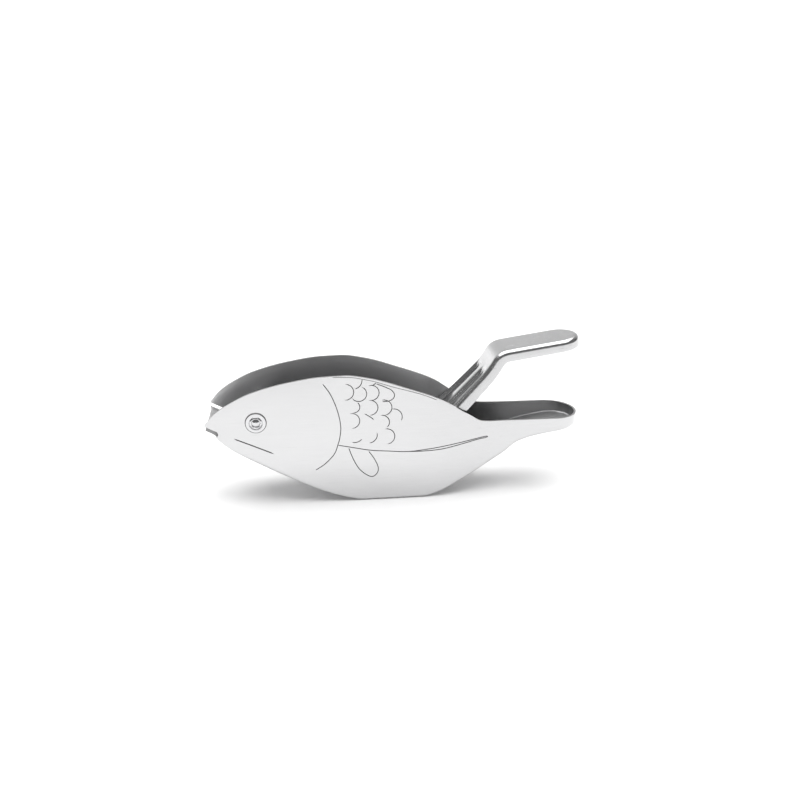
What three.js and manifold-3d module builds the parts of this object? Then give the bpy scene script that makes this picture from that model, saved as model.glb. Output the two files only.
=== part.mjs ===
// A fish-shaped citrus wedge squeezer in pressed stainless steel. The drawn trough is the
// fish: its nose is the pouring mouth and its tail is the lower handle. A press lever
// hinges on two domed rivets, one through each eye.
//
// Frame: millimetres, +Z up, nose towards -X, tail towards +X, belly resting on z = 0.

import * as THREE from 'three';
import { LoftGeometry } from 'three/addons/geometries/LoftGeometry.js';
import { mergeVertices } from 'three/addons/utils/BufferGeometryUtils.js';
import Module from 'manifold-3d';

// ---------------------------------------------------------------- driving dimensions

// trough
const BODY_HALF_WIDTH = 13.6;
const TAIL_HALF_WIDTH = 10.9;
const TAPER_FROM_X = 12;
const TAPER_TO_X = 44;
const BODY_SHEET = 0.9;
const BODY_CORNER = 1.4;
const SHALLOW_CORNER = 0.6; // largest corner, as a share of the wall height
const TAIL_TIP_X = 73.7;
const LIP_X = -75.1;

// upper edge of the trough walls, from the nose over the back to the tail: [x, z]
const RIM = [
  [LIP_X, 34.8],
  [-74.0, 36.2],
  [-71.1, 39.3],
  [-66.4, 42.6],
  [-57.3, 47.0],
  [-43.7, 50.6],
  [-30.1, 52.5],
  [-21.5, 52.7],
  [-12.0, 51.2],
  [1.8, 46.8],
  [15.7, 41.4],
  [27.3, 34.1],
  [32.5, 31.2],
  [37.0, 30.8],
  [TAIL_TIP_X, 30.4],
];

// underside of the trough floor, from the pouring lip over the belly to the tail: [x, z]
const FLOOR = [
  [LIP_X, 32.0],
  [-71.9, 30.1],
  [-69.8, 27.7],
  [-65.6, 23.9],
  [-53.7, 16.6],
  [-41.7, 9.9],
  [-35.5, 6.7],
  [-29.3, 3.9],
  [-20.0, 0.9],
  [-15.0, 0.0],
  [9.0, 0.0],
  [15.2, 1.7],
  [22.2, 5.1],
  [28.8, 8.6],
  [35.4, 12.6],
  [41.9, 16.7],
  [47.2, 20.9],
  [53.5, 23.0],
  [64.4, 24.8],
  [TAIL_TIP_X, 25.6],
];

// mouth slits: the part of each side wall below the jaw line, in front of the throat: [x, z]
const MOUTH_SLIT = [
  [-78.0, 35.9],
  [-74.9, 34.5],
  [-70.5, 32.1],
  [-70.1, 31.0],
  [-70.8, 29.7],
  [-71.9, 28.1],
  [-78.0, 28.1],
];
const LIP_HALF_WIDTH = 11.3;

// eyes, which are the hinge
const EYE_X = -55.8;
const EYE_Z = 35.2;
const RIVET_RADIUS = 2.5;
const RIVET_RING = 2.6;
const RIVET_DOME = 1.6;
const RIVET_SUNK = 0.8;
const RIVET_HEAD = 4.3;
const RIVET_HEAD_HEIGHT = 0.9;
const RIVET_ROLL = 3.7;
const RIVET_ROLL_HEIGHT = 0.8;
const CLEARANCE = 0.3;
const WASHER_RADIUS = 4.0;

// lever
const LEVER_SHEET = 1.1;
const LEVER_CORNER = 1.9;
const HANDLE_HALF_WIDTH = 9.2;
const SKIRT_DEPTH = 4.5;
const LEG_SKIRT_DEPTH = 5.4;
const PLATE_HALF_WIDTH = 11.4;
const PLATE_SKIRT = 2.2;
const EAR_THICKNESS = 1.0;
const EAR_RADIUS = 4.2;
const FLARE_BELOW_FOOT = 18; // the leg widens towards the plate along this stretch
const FLARE_ABOVE_FOOT = 16;
const SKIRT_RUN_OUT = 1.6;

// upper face of the lever's web, from the front of the press plate to the handle's tip:
// [x, z, how far before and after the corner its bend reaches]
const PLATE_FRONT = [-41.0, 13.5, 0];
const PLATE_TOE = [-24.5, 5.9, 5];
const PLATE_HEEL = [-12.4, 4.1, 6];
const LEG_FOOT = [21.4, 37.4, 5];
const LEG_TOP = [34.6, 51.2, 4.0];
const HANDLE_BEND = [38.6, 58.4, 4.2];
const HANDLE_TIP = [72.4, 63.4, 0];

// pressed grooves along the leg, on both sides of its middle rib, as shares of the web
const GROOVE_DEPTH = 1.3;
const GROOVE_EDGES = [0.15, 0.34, 0.86, 0.97];
const GROOVE_RUN_OUT = 4.0;

// ---------------------------------------------------------------- solids

const wasm = await Module();
wasm.setup();
const { lerp, smoothstep } = THREE.MathUtils;

function solid(geometry) {
  const bare = new THREE.BufferGeometry();
  bare.setAttribute('position', geometry.getAttribute('position'));
  bare.setIndex(geometry.getIndex());
  const merged = mergeVertices(bare, 1e-4);
  return new wasm.Manifold(new wasm.Mesh({
    numProp: 3,
    vertProperties: new Float32Array(merged.attributes.position.array),
    triVerts: new Uint32Array(merged.index.array),
  }));
}

function geometryOf(manifold) {
  const { vertProperties, triVerts } = manifold.getMesh();
  const geometry = new THREE.BufferGeometry();
  geometry.setAttribute('position', new THREE.BufferAttribute(vertProperties, 3));
  geometry.setIndex(new THREE.BufferAttribute(triVerts, 1));
  geometry.computeVertexNormals();
  return geometry;
}

// A plate with its outline in x and z, between two values of y.
function sidePlate(shape, yFrom, yTo) {
  const geometry = new THREE.ExtrudeGeometry(shape, {
    depth: yTo - yFrom,
    bevelEnabled: false,
    curveSegments: 8,
  });
  geometry.rotateX(Math.PI / 2);
  geometry.translate(0, yTo, 0);
  return solid(geometry);
}

// A rod along y through the eye.
function eyeRod(radius, yFrom, yTo) {
  const geometry = new THREE.CylinderGeometry(radius, radius, yTo - yFrom, 24);
  geometry.translate(EYE_X, (yFrom + yTo) / 2, EYE_Z);
  return solid(geometry);
}

// ---------------------------------------------------------------- curves

// A smooth height over x through the points, which stays flat between two equal heights.
function smoothHeight(points) {
  const runs = points.slice(1).map(([x, z], i) => (z - points[i][1]) / (x - points[i][0]));
  const slopes = points.map((point, i) => {
    const before = runs[Math.max(i - 1, 0)];
    const after = runs[Math.min(i, runs.length - 1)];
    return before * after <= 0 ? 0 : (2 * before * after) / (before + after);
  });
  return (x) => {
    const inside = THREE.MathUtils.clamp(x, points[0][0], points.at(-1)[0]);
    const i = Math.min(points.findLastIndex(([px]) => px <= inside), points.length - 2);
    const [x0, z0] = points[i];
    const [x1, z1] = points[i + 1];
    const span = x1 - x0;
    const t = (inside - x0) / span;
    return (1 + 2 * t) * (1 - t) ** 2 * z0
      + t * (1 - t) ** 2 * span * slopes[i]
      + t * t * (3 - 2 * t) * z1
      - t * t * (1 - t) * span * slopes[i + 1];
  };
}

// Values from one number to another, both included.
function steps(from, to, count) {
  return Array.from({ length: count + 1 }, (_, i) => from + ((to - from) * i) / count);
}

// ---------------------------------------------------------------- trough

const rimHeight = smoothHeight(RIM);
const floorHeight = smoothHeight(FLOOR);

// How much thicker the sloping floor measures upright than the sheet it is made of.
function floorSteepness(x) {
  const reach = 0.05;
  const slope = (floorHeight(x + reach) - floorHeight(x - reach)) / (2 * reach);
  return Math.sqrt(1 + slope * slope);
}

// The trough narrows from the body to the tail.
function troughHalfWidth(x) {
  return lerp(BODY_HALF_WIDTH, TAIL_HALF_WIDTH, smoothstep(x, TAPER_FROM_X, TAPER_TO_X));
}

// One loop round the sheet at a station: the plan point comes from the inward distance.
function troughSection(planPoint) {
  const edgeX = planPoint(0).x;
  const depth = rimHeight(edgeX) - floorHeight(edgeX);
  const corner = Math.min(BODY_CORNER, SHALLOW_CORNER * depth);
  const rise = (inward, radius, lift) => steps(0, Math.PI / 2, 4).map((a) => ({
    inward: inward + radius * (1 - Math.cos(a)),
    height: (x) => floorHeight(x) + lift * floorSteepness(x) + radius * (1 - Math.sin(a)),
  }));
  const place = (side) => ({ inward, height }) => {
    const { x, y } = planPoint(inward);
    return new THREE.Vector3(x, y * side, height(x));
  };
  const outside = [{ inward: 0, height: rimHeight }, ...rise(0, corner, 0)];
  const inside = [
    { inward: BODY_SHEET, height: rimHeight },
    ...rise(BODY_SHEET, corner - BODY_SHEET, BODY_SHEET),
  ];
  return [
    ...outside.map(place(-1)),
    ...outside.map(place(1)).reverse(),
    ...inside.map(place(1)),
    ...inside.map(place(-1)).reverse(),
  ];
}

function troughStations() {
  const tailCentre = TAIL_TIP_X - TAIL_HALF_WIDTH;
  const throatX = -65.6;
  const bellyFromX = -15;
  const bellyToX = 9;
  const lengthwise = [
    ...steps(LIP_X, throatX, 10),
    ...steps(throatX, bellyFromX, 16).slice(1),
    ...steps(bellyFromX, bellyToX, 4).slice(1),
    ...steps(bellyToX, tailCentre, 18).slice(1),
  ];
  const straight = lengthwise.map((x) => (inward) => (
    new THREE.Vector2(x, troughHalfWidth(x) - inward)
  ));
  const round = steps(0, Math.PI / 2, 12).slice(1).map((turn) => (inward) => new THREE.Vector2(
    tailCentre + (TAIL_HALF_WIDTH - inward) * Math.sin(turn),
    (TAIL_HALF_WIDTH - inward) * Math.cos(turn),
  ));
  return [...straight, ...round];
}

function troughBody() {
  const sections = troughStations().map(troughSection);
  const slit = new THREE.Shape(MOUTH_SLIT.map(([x, z]) => new THREE.Vector2(x, z)));
  const outside = BODY_HALF_WIDTH + 1;
  return solid(new LoftGeometry(sections, { capStart: true }))
    .subtract(sidePlate(slit, -outside, -LIP_HALF_WIDTH))
    .subtract(sidePlate(slit, LIP_HALF_WIDTH, outside))
    .subtract(eyeRod(RIVET_RADIUS + CLEARANCE, -outside, outside));
}

// ---------------------------------------------------------------- press lever

// The path of the web's upper face: straight runs joined by bends.
function leverPath() {
  const corners = [
    PLATE_FRONT, PLATE_TOE, PLATE_HEEL, LEG_FOOT, LEG_TOP, HANDLE_BEND, HANDLE_TIP,
  ];
  const points = corners.map(([x, z]) => new THREE.Vector2(x, z));
  const path = new THREE.Path().moveTo(points[0].x, points[0].y);
  for (let i = 1; i < points.length - 1; i += 1) {
    const reach = corners[i][2];
    const towards = (end) => end.clone().sub(points[i]).setLength(reach).add(points[i]);
    const start = towards(points[i - 1]);
    const finish = towards(points[i + 1]);
    path.lineTo(start.x, start.y);
    path.quadraticCurveTo(points[i].x, points[i].y, finish.x, finish.y);
  }
  path.lineTo(points.at(-1).x, points.at(-1).y);
  return path;
}

const leverLine = leverPath();
const leverLength = leverLine.getLength();

// Distance along the lever of the point nearest to a corner of its path.
function distanceOf([x, z]) {
  const corner = new THREE.Vector2(x, z);
  const places = steps(0, leverLength, 800);
  const gaps = places.map((place) => leverLine.getPointAt(place / leverLength).distanceTo(corner));
  return places[gaps.indexOf(Math.min(...gaps))];
}

const toeAt = distanceOf(PLATE_TOE);
const footAt = distanceOf(LEG_FOOT);
const legTopAt = distanceOf(LEG_TOP);
const bendAt = distanceOf(HANDLE_BEND);
const roundFrom = leverLength - HANDLE_HALF_WIDTH;
const flareFrom = footAt - FLARE_BELOW_FOOT;
const flareTo = footAt + FLARE_ABOVE_FOOT;

function leverHalfWidth(distance) {
  return lerp(PLATE_HALF_WIDTH, HANDLE_HALF_WIDTH, smoothstep(distance, flareFrom, flareTo));
}

function skirtDepth(distance) {
  const leg = lerp(LEG_SKIRT_DEPTH, SKIRT_DEPTH, smoothstep(distance, footAt, bendAt));
  return lerp(PLATE_SKIRT, leg, smoothstep(distance, footAt, footAt + SKIRT_RUN_OUT));
}

function grooveDepth(distance) {
  const front = smoothstep(distance, toeAt, toeAt + GROOVE_RUN_OUT);
  const back = 1 - smoothstep(distance, legTopAt - GROOVE_RUN_OUT, legTopAt);
  return GROOVE_DEPTH * front * back;
}

// One loop round the sheet at a station. The station gives the plan point for an inward
// distance: how far along the lever, and how far from its middle.
function leverSection({ distance, planPoint }) {
  const web = planPoint(LEVER_CORNER);
  const depth = skirtDepth(distance);
  const groove = grooveDepth(distance);
  const place = ({ along, aside }, below) => {
    const point = leverLine.getPointAt(Math.min(along / leverLength, 1));
    const heading = leverLine.getTangentAt(Math.min(along / leverLength, 1));
    return new THREE.Vector3(point.x + heading.y * below, aside, point.y - heading.x * below);
  };
  const edge = (inward, radius, lift, side) => [
    [inward, depth],
    ...steps(0, Math.PI / 2, 4).map((a) => [
      inward + radius * (1 - Math.cos(a)),
      lift + radius * (1 - Math.sin(a)),
    ]),
  ].map(([inset, below]) => {
    const { along, aside } = planPoint(inset);
    return place({ along, aside: aside * side }, below);
  });
  const grooves = (lift) => {
    const half = GROOVE_EDGES.map((share, i) => [share, i === 1 || i === 2 ? groove : 0]);
    const mirrored = half.map(([share, sunk]) => [-share, sunk]).reverse();
    return [...mirrored, ...half].map(([share, sunk]) => place(
      { along: web.along, aside: web.aside * share },
      lift + sunk,
    ));
  };
  const inner = LEVER_CORNER - LEVER_SHEET;
  return [
    ...edge(LEVER_SHEET, inner, LEVER_SHEET, -1),
    ...grooves(LEVER_SHEET),
    ...edge(LEVER_SHEET, inner, LEVER_SHEET, 1).reverse(),
    ...edge(0, LEVER_CORNER, 0, 1),
    ...grooves(0).reverse(),
    ...edge(0, LEVER_CORNER, 0, -1).reverse(),
  ];
}

function leverStations() {
  const bends = leverLine.getCurveLengths().flatMap((end, i, ends) => (
    i % 2 ? steps(ends[i - 1], end, 5) : [end]
  ));
  const changes = [
    ...steps(toeAt, toeAt + GROOVE_RUN_OUT, 3),
    ...steps(flareFrom, flareTo, 4),
    ...steps(footAt, footAt + SKIRT_RUN_OUT, 4),
    ...steps(legTopAt - GROOVE_RUN_OUT, legTopAt, 3),
  ];
  const distances = [0, ...bends, ...changes, roundFrom]
    .filter((distance) => distance <= roundFrom)
    .sort((a, b) => a - b)
    .filter((distance, i, all) => i === 0 || distance - all[i - 1] > 0.15);
  const straight = distances.map((distance) => ({
    distance,
    planPoint: (inward) => ({ along: distance, aside: leverHalfWidth(distance) - inward }),
  }));
  const round = steps(0, Math.PI / 2, 10).slice(1).map((turn) => ({
    distance: roundFrom,
    planPoint: (inward) => ({
      along: roundFrom + (HANDLE_HALF_WIDTH - inward) * Math.sin(turn),
      aside: (HANDLE_HALF_WIDTH - inward) * Math.cos(turn),
    }),
  }));
  return [...straight, ...round];
}

// One ear: it rises from the side of the press plate to the hinge.
function ear(side) {
  const shape = new THREE.Shape();
  const arcStart = THREE.MathUtils.degToRad(213);
  const arcEnd = THREE.MathUtils.degToRad(50);
  const belowToe = 1.0;
  const belowFront = 1.4;
  const behindFront = 0.6;
  shape.moveTo(PLATE_TOE[0], PLATE_TOE[1] - belowToe);
  shape.lineTo(PLATE_FRONT[0] + behindFront, PLATE_FRONT[1] - belowFront);
  shape.absarc(EYE_X, EYE_Z, EAR_RADIUS, arcStart, arcEnd, true);
  const outer = side * PLATE_HALF_WIDTH;
  const inner = side * (PLATE_HALF_WIDTH - EAR_THICKNESS);
  return sidePlate(shape, Math.min(inner, outer), Math.max(inner, outer));
}

function pressLever() {
  const sections = leverStations().map(leverSection);
  return solid(new LoftGeometry(sections, { capStart: true }))
    .add(ear(-1))
    .add(ear(1))
    .subtract(eyeRod(RIVET_RADIUS + CLEARANCE, -BODY_HALF_WIDTH, BODY_HALF_WIDTH));
}

// ---------------------------------------------------------------- rivets and washers

// A rivet about +z: the flat head ring with its domed middle is at the top, the rolled end
// at the bottom.
function eyeRivet() {
  const wallOutside = BODY_HALF_WIDTH + CLEARANCE;
  const earInside = PLATE_HALF_WIDTH - EAR_THICKNESS - CLEARANCE;
  const head = wallOutside + RIVET_HEAD_HEIGHT;
  const roll = earInside - RIVET_ROLL_HEIGHT;
  const chamfer = 0.3;
  const profile = [
    [0, roll],
    [RIVET_ROLL - chamfer, roll],
    [RIVET_ROLL, roll + chamfer],
    [RIVET_ROLL, earInside],
    [RIVET_RADIUS, earInside],
    [RIVET_RADIUS, wallOutside],
    [RIVET_HEAD, wallOutside],
    [RIVET_HEAD, wallOutside + chamfer],
    [RIVET_HEAD - chamfer, head],
    [RIVET_RING + chamfer, head],
    [RIVET_RING, head - chamfer],
    [RIVET_RING, head - RIVET_SUNK],
    [RIVET_DOME, head - RIVET_SUNK / 2],
    [RIVET_DOME / 2, head - chamfer],
    [0, head - chamfer / 2],
  ];
  return new THREE.LatheGeometry(profile.map(([x, y]) => new THREE.Vector2(x, y)), 28);
}

// A flat washer that keeps an ear off the trough wall.
function washer() {
  const outside = BODY_HALF_WIDTH - BODY_SHEET - CLEARANCE;
  const inside = PLATE_HALF_WIDTH + CLEARANCE;
  const bore = RIVET_RADIUS + CLEARANCE;
  const profile = [
    [bore, inside],
    [WASHER_RADIUS, inside],
    [WASHER_RADIUS, outside],
    [bore, outside],
    [bore, inside],
  ];
  return new THREE.LatheGeometry(profile.map(([x, y]) => new THREE.Vector2(x, y)), 28);
}

// ---------------------------------------------------------------- assembly

const polishedSteel = { color: 0xd9dadb, roughness: 0.16, metalness: 1 };
const satinSteel = { color: 0xc9cacc, roughness: 0.28, metalness: 1 };
const rivetSteel = { color: 0xcfd0d1, roughness: 0.2, metalness: 1 };

function part(name, geometry, finish) {
  const mesh = new THREE.Mesh(geometry, new THREE.MeshStandardMaterial(finish));
  mesh.name = name;
  return mesh;
}

const squeezer = new THREE.Group();
squeezer.add(
  part('trough_body', geometryOf(troughBody()), polishedSteel),
  part('press_lever', geometryOf(pressLever()), satinSteel),
);

// The fish's left side is -Y. A lathe turns about its own y, which each hinge group
// points out of its own side of the trough.
for (const [sideName, turn] of [['left', Math.PI], ['right', 0]]) {
  const hinge = new THREE.Group();
  hinge.position.set(EYE_X, 0, EYE_Z);
  hinge.rotation.z = turn;
  hinge.add(
    part(`eye_rivet_${sideName}`, eyeRivet(), rivetSteel),
    part(`washer_${sideName}`, washer(), rivetSteel),
  );
  squeezer.add(hinge);
}

export default squeezer;
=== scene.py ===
"""A fish-shaped citrus wedge squeezer in pressed stainless steel, built round its CAD frame.

The drawn trough is the fish: its nose is the pouring mouth and its tail the lower handle.
A press lever hinges on two domed rivets, one through each eye.
Frame: metres, +Z up, nose towards -X, tail towards +X, belly resting on z = 0.
"""

import math
from bisect import bisect_right

import bmesh
import bpy
from bpy.props import FloatProperty, FloatVectorProperty, PointerProperty
from mathutils import Matrix, Vector


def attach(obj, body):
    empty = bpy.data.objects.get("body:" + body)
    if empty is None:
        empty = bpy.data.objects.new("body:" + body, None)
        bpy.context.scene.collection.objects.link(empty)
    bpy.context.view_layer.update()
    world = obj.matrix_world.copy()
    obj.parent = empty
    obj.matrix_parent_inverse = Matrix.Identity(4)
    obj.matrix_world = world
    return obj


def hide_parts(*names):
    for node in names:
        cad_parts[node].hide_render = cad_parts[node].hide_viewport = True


bl_info = {
    "name": "Fish Wedge Squeezer",
    "version": (1, 0, 0),
    "blender": (4, 5, 0),
    "location": "3D View > Sidebar > Squeezer",
    "description": "Builds a fish-shaped citrus wedge squeezer piece by piece",
    "category": "Object",
}

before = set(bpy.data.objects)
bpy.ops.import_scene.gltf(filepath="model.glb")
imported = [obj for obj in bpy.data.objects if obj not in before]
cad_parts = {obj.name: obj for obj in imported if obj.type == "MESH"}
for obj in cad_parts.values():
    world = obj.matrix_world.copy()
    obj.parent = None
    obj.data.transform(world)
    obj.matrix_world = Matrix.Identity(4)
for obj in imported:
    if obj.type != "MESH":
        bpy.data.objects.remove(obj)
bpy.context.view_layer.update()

MM = 0.001

# ------------------------------------------------------------------ sizes, in millimetres

# trough
BODY_HALF_WIDTH = 13.6
TAIL_HALF_WIDTH = 10.9
TAPER_FROM_X, TAPER_TO_X = 12.0, 44.0
BODY_SHEET = 0.9
BODY_CORNER = 1.4
SHALLOW_CORNER = 0.6
TAIL_TIP_X = 73.7
LIP_X = -75.1
TAIL_CENTRE_X = TAIL_TIP_X - TAIL_HALF_WIDTH

# upper edge of the walls, and underside of the floor, from nose to tail: (x, z)
RIM = (
    (LIP_X, 34.8), (-74.0, 36.2), (-71.1, 39.3), (-66.4, 42.6), (-57.3, 47.0),
    (-43.7, 50.6), (-30.1, 52.5), (-21.5, 52.7), (-12.0, 51.2), (1.8, 46.8),
    (15.7, 41.4), (27.3, 34.1), (32.5, 31.2), (37.0, 30.8), (TAIL_TIP_X, 30.4),
)
FLOOR = (
    (LIP_X, 32.0), (-71.9, 30.1), (-69.8, 27.7), (-65.6, 23.9), (-53.7, 16.6),
    (-41.7, 9.9), (-35.5, 6.7), (-29.3, 3.9), (-20.0, 0.9), (-15.0, 0.0), (9.0, 0.0),
    (15.2, 1.7), (22.2, 5.1), (28.8, 8.6), (35.4, 12.6), (41.9, 16.7), (47.2, 20.9),
    (53.5, 23.0), (64.4, 24.8), (TAIL_TIP_X, 25.6),
)
MOUTH_SLIT = (
    (-78.0, 35.9), (-74.9, 34.5), (-70.5, 32.1), (-70.1, 31.0), (-70.8, 29.7),
    (-71.9, 28.1), (-78.0, 28.1),
)
LIP_HALF_WIDTH = 11.3

# low flange along both sides of the lip (x, z)
FLANGE_OUTLINE = (
    (-74.9, 32.2), (-71.9, 30.4), (-70.9, 29.4), (-70.4, 31.2), (-72.0, 32.2), (-74.9, 33.7),
)
LIP_FLANGE = 0.7
LIP_FROM_X = -70.9

# eyes, which are the hinge
EYE_X = -55.8
EYE_Z = 35.2
EYE_HOLE = 2.8

# the rivet's section: (radius, distance out of the wall), from the domed middle of the
# head over its flat ring and edge to the roll
RIVET_SECTION = (
    (0.0, 0.88), (0.4, 0.85), (0.8, 0.74), (1.15, 0.56), (1.45, 0.32), (1.55, 0.28),
    (1.65, 0.4), (1.74, 0.56), (1.84, 0.62), (1.98, 0.6), (2.25, 0.44), (2.54, 0.16),
    (2.62, 0.16), (2.7, 0.42), (2.82, 0.46), (3.78, 0.46), (3.94, 0.4), (4.08, 0.26),
    (4.12, 0.1), (4.05, 0.02), (2.5, 0.02), (2.5, -3.5), (3.6, -3.5), (3.7, -3.7),
    (3.65, -4.0), (3.3, -4.25), (0.0, -4.25),
)
# beyond this radius the head's edge is painted dark, as the contact shadow round the head
RIVET_RING_EDGE = 3.8
RIVET_STEPS = 72

# lever
LEVER_SHEET = 1.1
LEVER_CORNER = 1.9
HANDLE_HALF_WIDTH = 9.2
SKIRT_DEPTH = 4.5
LEG_SKIRT_DEPTH = 5.4
SKIRT_EDGE_ROUND = 0.42
SKIRT_RUN_OUT = 1.6
PLATE_HALF_WIDTH = 11.4
PLATE_SKIRT = 2.2
EAR_THICKNESS = 1.0
EAR_RADIUS = 4.2
EAR_ARC = (213.0, 50.0)
EAR_ROUND = 0.2
FLARE_BELOW_FOOT = 18.0
FLARE_ABOVE_FOOT = 16.0

# upper face of the lever's web: (x, z, how far its bend reaches)
PLATE_FRONT = (-41.0, 13.5, 0.0)
PLATE_TOE = (-24.5, 5.9, 5.0)
PLATE_HEEL = (-12.4, 4.1, 6.0)
LEG_FOOT = (21.4, 37.4, 5.0)
LEG_TOP = (34.6, 51.2, 4.0)
HANDLE_BEND = (38.6, 58.4, 4.2)
HANDLE_TIP = (72.4, 63.37, 0.0)

# pressed grooves on both sides of the leg's middle rib, as shares of the web's half width
GROOVE_DEPTH = 1.3
GROOVE_EDGES = (0.15, 0.34, 0.86, 1.0)
GROOVE_RUN_OUT = 4.0

# ------------------------------------------------------------------ engraving, in millimetres

# scales: short arcs through three points (x, z)
SCALES = (
    ((-21.4, 49.4), (-18.3, 46.1), (-21.8, 43.0)),
    ((-15.1, 51.1), (-15.7, 48.8), (-17.8, 47.4)),
    ((-15.3, 48.1), (-13.5, 44.3), (-19.0, 43.7)),
    ((-12.6, 48.5), (-8.6, 45.3), (-12.5, 42.5)),
    ((-9.7, 49.4), (-10.4, 49.0), (-11.0, 48.5)),
    ((-17.0, 41.8), (-16.1, 39.7), (-18.6, 37.7)),
    ((-12.1, 42.5), (-9.1, 39.2), (-12.2, 36.4)),
    ((-7.6, 42.4), (-3.7, 39.5), (-6.5, 36.1)),
    ((-3.6, 38.6), (-0.5, 37.4), (-0.1, 33.6)),
    ((-19.9, 37.4), (-16.2, 34.3), (-19.1, 31.2)),
    ((-14.3, 37.1), (-12.7, 36.1), (-10.7, 34.5)),
    ((-8.0, 36.2), (-4.7, 33.6), (-5.7, 31.0)),
    ((-15.5, 26.6), (-17.0, 25.5), (-19.3, 25.4)),
    ((-9.6, 29.0), (-9.8, 26.7), (-12.5, 24.8)),
    ((-6.5, 30.4), (-2.6, 27.2), (-5.5, 24.0)),
)
# longer lines through many points (x, z)
UPPER_SCALE = (
    (-9.6, 49.1), (-7.6, 48.3), (-5.5, 47.3), (-3.8, 46.3), (-2.7, 44.5), (-3.3, 42.8),
    (-5.2, 41.9), (-7.3, 41.8),
)
BACK_LINE = (
    (-26.4, 52.3), (-19.2, 52.0), (-15.1, 51.2), (-10.6, 50.1), (-3.0, 47.5), (3.3, 45.6),
    (8.9, 43.7), (13.9, 41.5),
)
FIN = (
    (-20.7, 23.1), (-18.8, 17.8), (-16.2, 13.3), (-12.3, 10.4), (-10.0, 11.3), (-9.2, 14.0),
    (-10.7, 17.9), (-12.9, 21.3),
)
SIDE_LINE = (
    (-24.9, 24.5), (-19.5, 23.3), (-12.1, 21.7), (-5.1, 21.0), (2.4, 20.4), (10.0, 21.0),
    (19.1, 22.2), (27.4, 23.5), (33.6, 24.5), (34.8, 24.4), (34.4, 24.0),
)
SIDE_BRANCH = (
    (2.4, 20.4), (9.0, 20.3), (16.5, 20.8), (24.2, 22.2), (31.0, 23.6), (34.4, 24.0),
)
GILL = (
    (-30.0, 49.9), (-27.1, 45.4), (-24.7, 38.8), (-23.6, 32.6), (-24.0, 27.8),
    (-24.9, 24.5), (-26.4, 20.7), (-30.0, 16.8), (-33.8, 14.3),
)
MOUTH_LINE = ((-64.3, 29.0), (-57.2, 25.7), (-49.7, 22.1))
LONG_LINES = (UPPER_SCALE, FIN, SIDE_LINE, SIDE_BRANCH, GILL)
BACK_LINE_SHARE = 0.6
MOUTH_LINE_SHARE = 1.4


# ------------------------------------------------------------------ curves

def spread(start, end, count):
    """Evenly spaced numbers from start to end, both included."""
    return [start + (end - start) * i / count for i in range(count + 1)]


def mix(a, b, share):
    """The value that lies the given share of the way from a to b."""
    return a + (b - a) * share


def ease(value, start, end):
    """A smooth step from 0 at start to 1 at end."""
    t = min(max((value - start) / (end - start), 0.0), 1.0)
    return t * t * (3.0 - 2.0 * t)


def smooth_height(points):
    """A smooth height over x through the points, level between two equal heights."""
    xs = [x for x, _ in points]
    runs = [(b[1] - a[1]) / (b[0] - a[0]) for a, b in zip(points, points[1:])]
    slopes = []
    for i in range(len(points)):
        before, after = runs[max(i - 1, 0)], runs[min(i, len(runs) - 1)]
        bends_over = before * after <= 0.0
        slopes.append(0.0 if bends_over else 2.0 * before * after / (before + after))

    def height(x):
        inside = min(max(x, xs[0]), xs[-1])
        i = min(bisect_right(xs, inside) - 1, len(xs) - 2)
        (x0, z0), (x1, z1) = points[i], points[i + 1]
        t = (inside - x0) / (x1 - x0)
        start = (1 + 2 * t) * (1 - t) ** 2 * z0 + t * (1 - t) ** 2 * (x1 - x0) * slopes[i]
        end = t * t * (3 - 2 * t) * z1 - t * t * (1 - t) * (x1 - x0) * slopes[i + 1]
        return start + end

    return height


def arc_through(first, middle, last, count):
    """Points on the circle arc from first over middle to last."""
    a, b, c = (Vector((x, z)) for x, z in (first, middle, last))
    turn = 2.0 * (a.x * (b.y - c.y) + b.x * (c.y - a.y) + c.x * (a.y - b.y))
    if abs(turn) < 0.2:
        return [tuple(a.lerp(c, t)) for t in spread(0.0, 1.0, count)]
    aa, bb, cc = a.length_squared, b.length_squared, c.length_squared
    centre = Vector((
        (aa * (b.y - c.y) + bb * (c.y - a.y) + cc * (a.y - b.y)) / turn,
        (aa * (c.x - b.x) + bb * (a.x - c.x) + cc * (b.x - a.x)) / turn,
    ))
    angles = [math.atan2(p.y - centre.y, p.x - centre.x) for p in (a, b, c)]
    full = 2.0 * math.pi
    sweep = (angles[2] - angles[0]) % full
    if (angles[1] - angles[0]) % full > sweep:
        sweep -= full
    radius = (a - centre).length
    return [
        (centre.x + radius * math.cos(angles[0] + sweep * t),
         centre.y + radius * math.sin(angles[0] + sweep * t))
        for t in spread(0.0, 1.0, count)
    ]


def smooth_line(points, count):
    """Points on a smooth line through the given ones, count for each stretch."""
    line = []
    for i in range(len(points) - 1):
        before, start = Vector(points[max(i - 1, 0)]), Vector(points[i])
        end, after = Vector(points[i + 1]), Vector(points[min(i + 2, len(points) - 1)])
        for t in spread(0.0, 1.0, count)[:-1]:
            leave = (end - before) * 0.5
            reach = (after - start) * 0.5
            at = (2 * t**3 - 3 * t**2 + 1) * start + (t**3 - 2 * t**2 + t) * leave
            at += (3 * t**2 - 2 * t**3) * end + (t**3 - t**2) * reach
            line.append(tuple(at))
    return line + [tuple(points[-1])]


# ------------------------------------------------------------------ mesh making

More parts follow.
